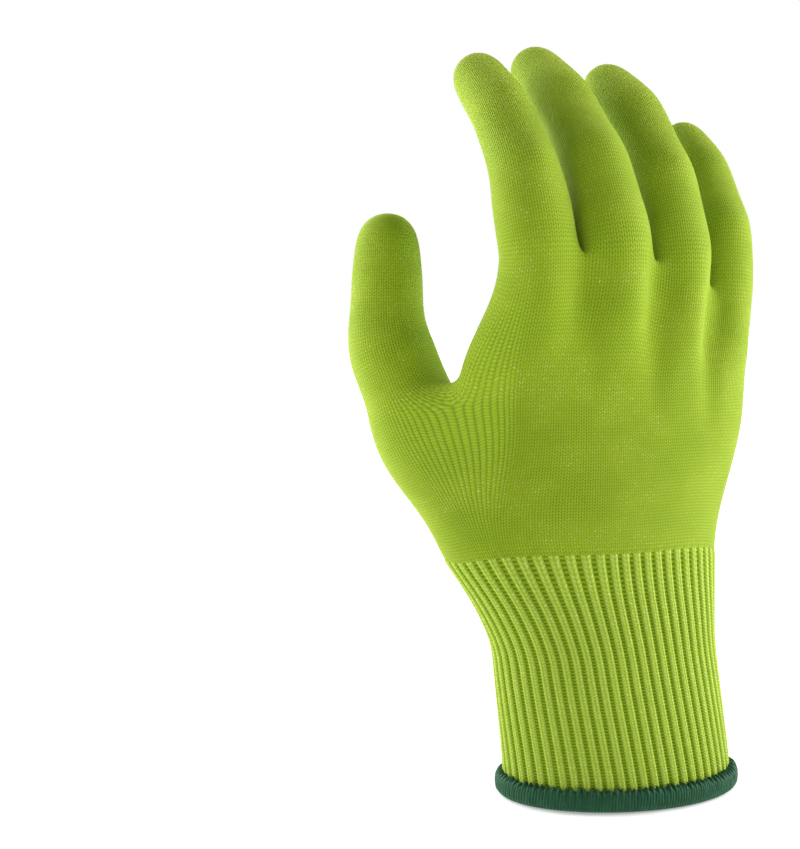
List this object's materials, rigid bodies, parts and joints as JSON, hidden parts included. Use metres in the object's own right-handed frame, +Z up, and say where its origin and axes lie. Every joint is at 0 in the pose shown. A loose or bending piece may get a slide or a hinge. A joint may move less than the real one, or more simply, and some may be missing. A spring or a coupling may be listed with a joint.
{
  "type": "cut resistant glove",
  "caption": "Seamless knitted cut resistant work glove for the right hand, bright yellow-green, with a long ribbed cuff and a dark green overlocked hem.",
  "frame": {"origin": "centre of the wrist opening, on the plane of the hem's lower edge", "axes": "+Z up from the wrist opening to the fingers, +X from the thumb side to the little finger side, +Y from the back of the hand to the palm side"},
  "size_m": [0.1235, 0.0906, 0.2306],
  "materials": {
    "jersey_knit": "matte plain knit with a soft sheen",
    "rib_knit": "matte ribbed knit flecked with pale fibres",
    "elastic_yarn": "matte covered elastic",
    "hem_thread": "overlocked thread, slightly glossy"
  },
  "bodies": {
    "cuff": {"hem_overlock": "hem_thread", "rib_cuff": "rib_knit", "cuff_elastic": "elastic_yarn", "wrist_rib": "rib_knit"},
    "palm": {"lower_palm": "jersey_knit", "upper_palm": "jersey_knit", "thumb_gusset": "jersey_knit", "index_root": "jersey_knit", "middle_root": "jersey_knit", "ring_root": "jersey_knit", "little_root": "jersey_knit"},
    "thumb": {"thumb_proximal": "jersey_knit", "thumb_knuckle": "jersey_knit"},
    "thumb_end": {"thumb_tip": "jersey_knit"},
    "index_first": {"index_proximal": "jersey_knit", "index_knuckle": "jersey_knit"},
    "index_second": {"index_middle": "jersey_knit", "index_tip_joint": "jersey_knit"},
    "index_third": {"index_tip": "jersey_knit"},
    "middle_first": {"middle_proximal": "jersey_knit", "middle_knuckle": "jersey_knit"},
    "middle_second": {"middle_middle": "jersey_knit", "middle_tip_joint": "jersey_knit"},
    "middle_third": {"middle_tip": "jersey_knit"},
    "ring_first": {"ring_proximal": "jersey_knit", "ring_knuckle": "jersey_knit"},
    "ring_second": {"ring_middle": "jersey_knit", "ring_tip_joint": "jersey_knit"},
    "ring_third": {"ring_tip": "jersey_knit"},
    "little_first": {"little_proximal": "jersey_knit", "little_knuckle": "jersey_knit"},
    "little_second": {"little_middle": "jersey_knit", "little_tip_joint": "jersey_knit"},
    "little_third": {"little_tip": "jersey_knit"}
  },
  "joints": [
    {"name": "wrist_bend", "type": "hinge", "parent": "cuff", "child": "palm", "pos_m": [-0.0042, 0.0042, 0.059], "axis": [-1, 0, 0], "range_deg": [-38, 38], "deforming": ["wrist_rib"]},
    {"name": "thumb_swing", "type": "hinge", "parent": "palm", "child": "thumb", "pos_m": [-0.0289, 0.02, 0.0732], "axis": [0.5145, -0.8575, 0], "range_deg": [-10, 16], "deforming": ["thumb_gusset"]},
    {"name": "thumb_bend", "type": "hinge", "parent": "thumb", "child": "thumb_end", "pos_m": [-0.0589, 0.0445, 0.137], "axis": [0.3419, -0.9397, 0], "range_deg": [-40, 12], "deforming": ["thumb_knuckle"]},
    {"name": "index_base_bend", "type": "hinge", "parent": "palm", "child": "index_first", "pos_m": [-0.02629, 0.001, 0.16949], "axis": [-0.9986, 0, -0.0523], "range_deg": [-18, 42], "deforming": ["index_root"]},
    {"name": "index_knuckle_bend", "type": "hinge", "parent": "index_first", "child": "index_second", "pos_m": [-0.02735, 0.00835, 0.18967], "axis": [-0.9986, 0, -0.0523], "range_deg": [-20, 50], "deforming": ["index_knuckle"]},
    {"name": "index_tip_bend", "type": "hinge", "parent": "index_second", "child": "index_third", "pos_m": [-0.02833, 0.02475, 0.20851], "axis": [-0.9986, 0, -0.0523], "range_deg": [-12, 30], "deforming": ["index_tip_joint"]},
    {"name": "middle_base_bend", "type": "hinge", "parent": "palm", "child": "middle_first", "pos_m": [-0.00174, 0, 0.1695], "axis": [-0.999, 0, -0.0436], "range_deg": [-25, 38], "deforming": ["middle_root"]},
    {"name": "middle_knuckle_bend", "type": "hinge", "parent": "middle_first", "child": "middle_second", "pos_m": [-0.00275, 0.0118, 0.19264], "axis": [-0.999, 0, -0.0436], "range_deg": [-19, 50], "deforming": ["middle_knuckle"]},
    {"name": "middle_tip_bend", "type": "hinge", "parent": "middle_second", "child": "middle_third", "pos_m": [-0.00363, 0.03338, 0.21274], "axis": [-0.999, 0, -0.0436], "range_deg": [-11.4, 30], "deforming": ["middle_tip_joint"]},
    {"name": "ring_base_bend", "type": "hinge", "parent": "palm", "child": "ring_first", "pos_m": [0.022, 0.004, 0.1648], "axis": [-1, 0, 0], "range_deg": [-22, 40], "deforming": ["ring_root"]},
    {"name": "ring_knuckle_bend", "type": "hinge", "parent": "ring_first", "child": "ring_second", "pos_m": [0.022, 0.01437, 0.1881], "axis": [-1, 0, 0], "range_deg": [-19, 50], "deforming": ["ring_knuckle"]},
    {"name": "ring_tip_bend", "type": "hinge", "parent": "ring_second", "child": "ring_third", "pos_m": [0.022, 0.03486, 0.20932], "axis": [-1, 0, 0], "range_deg": [-11.4, 30], "deforming": ["ring_tip_joint"]},
    {"name": "little_base_bend", "type": "hinge", "parent": "palm", "child": "little_first", "pos_m": [0.04259, 0.0105, 0.15549], "axis": [-0.9986, 0, 0.0523], "range_deg": [-14, 44], "deforming": ["little_root"]},
    {"name": "little_knuckle_bend", "type": "hinge", "parent": "little_first", "child": "little_second", "pos_m": [0.04347, 0.01532, 0.17229], "axis": [-0.9986, 0, 0.0523], "range_deg": [-20, 50], "deforming": ["little_knuckle"]},
    {"name": "little_tip_bend", "type": "hinge", "parent": "little_second", "child": "little_third", "pos_m": [0.04445, 0.02947, 0.19103], "axis": [-0.9986, 0, 0.0523], "range_deg": [-12, 30], "deforming": ["little_tip_joint"]}
  ],
  "couplings": [
    {"joint": "index_tip_bend", "follows": "index_knuckle_bend", "ratio": 0.6},
    {"joint": "middle_tip_bend", "follows": "middle_knuckle_bend", "ratio": 0.6},
    {"joint": "ring_tip_bend", "follows": "ring_knuckle_bend", "ratio": 0.6},
    {"joint": "little_tip_bend", "follows": "little_knuckle_bend", "ratio": 0.6}
  ]
}
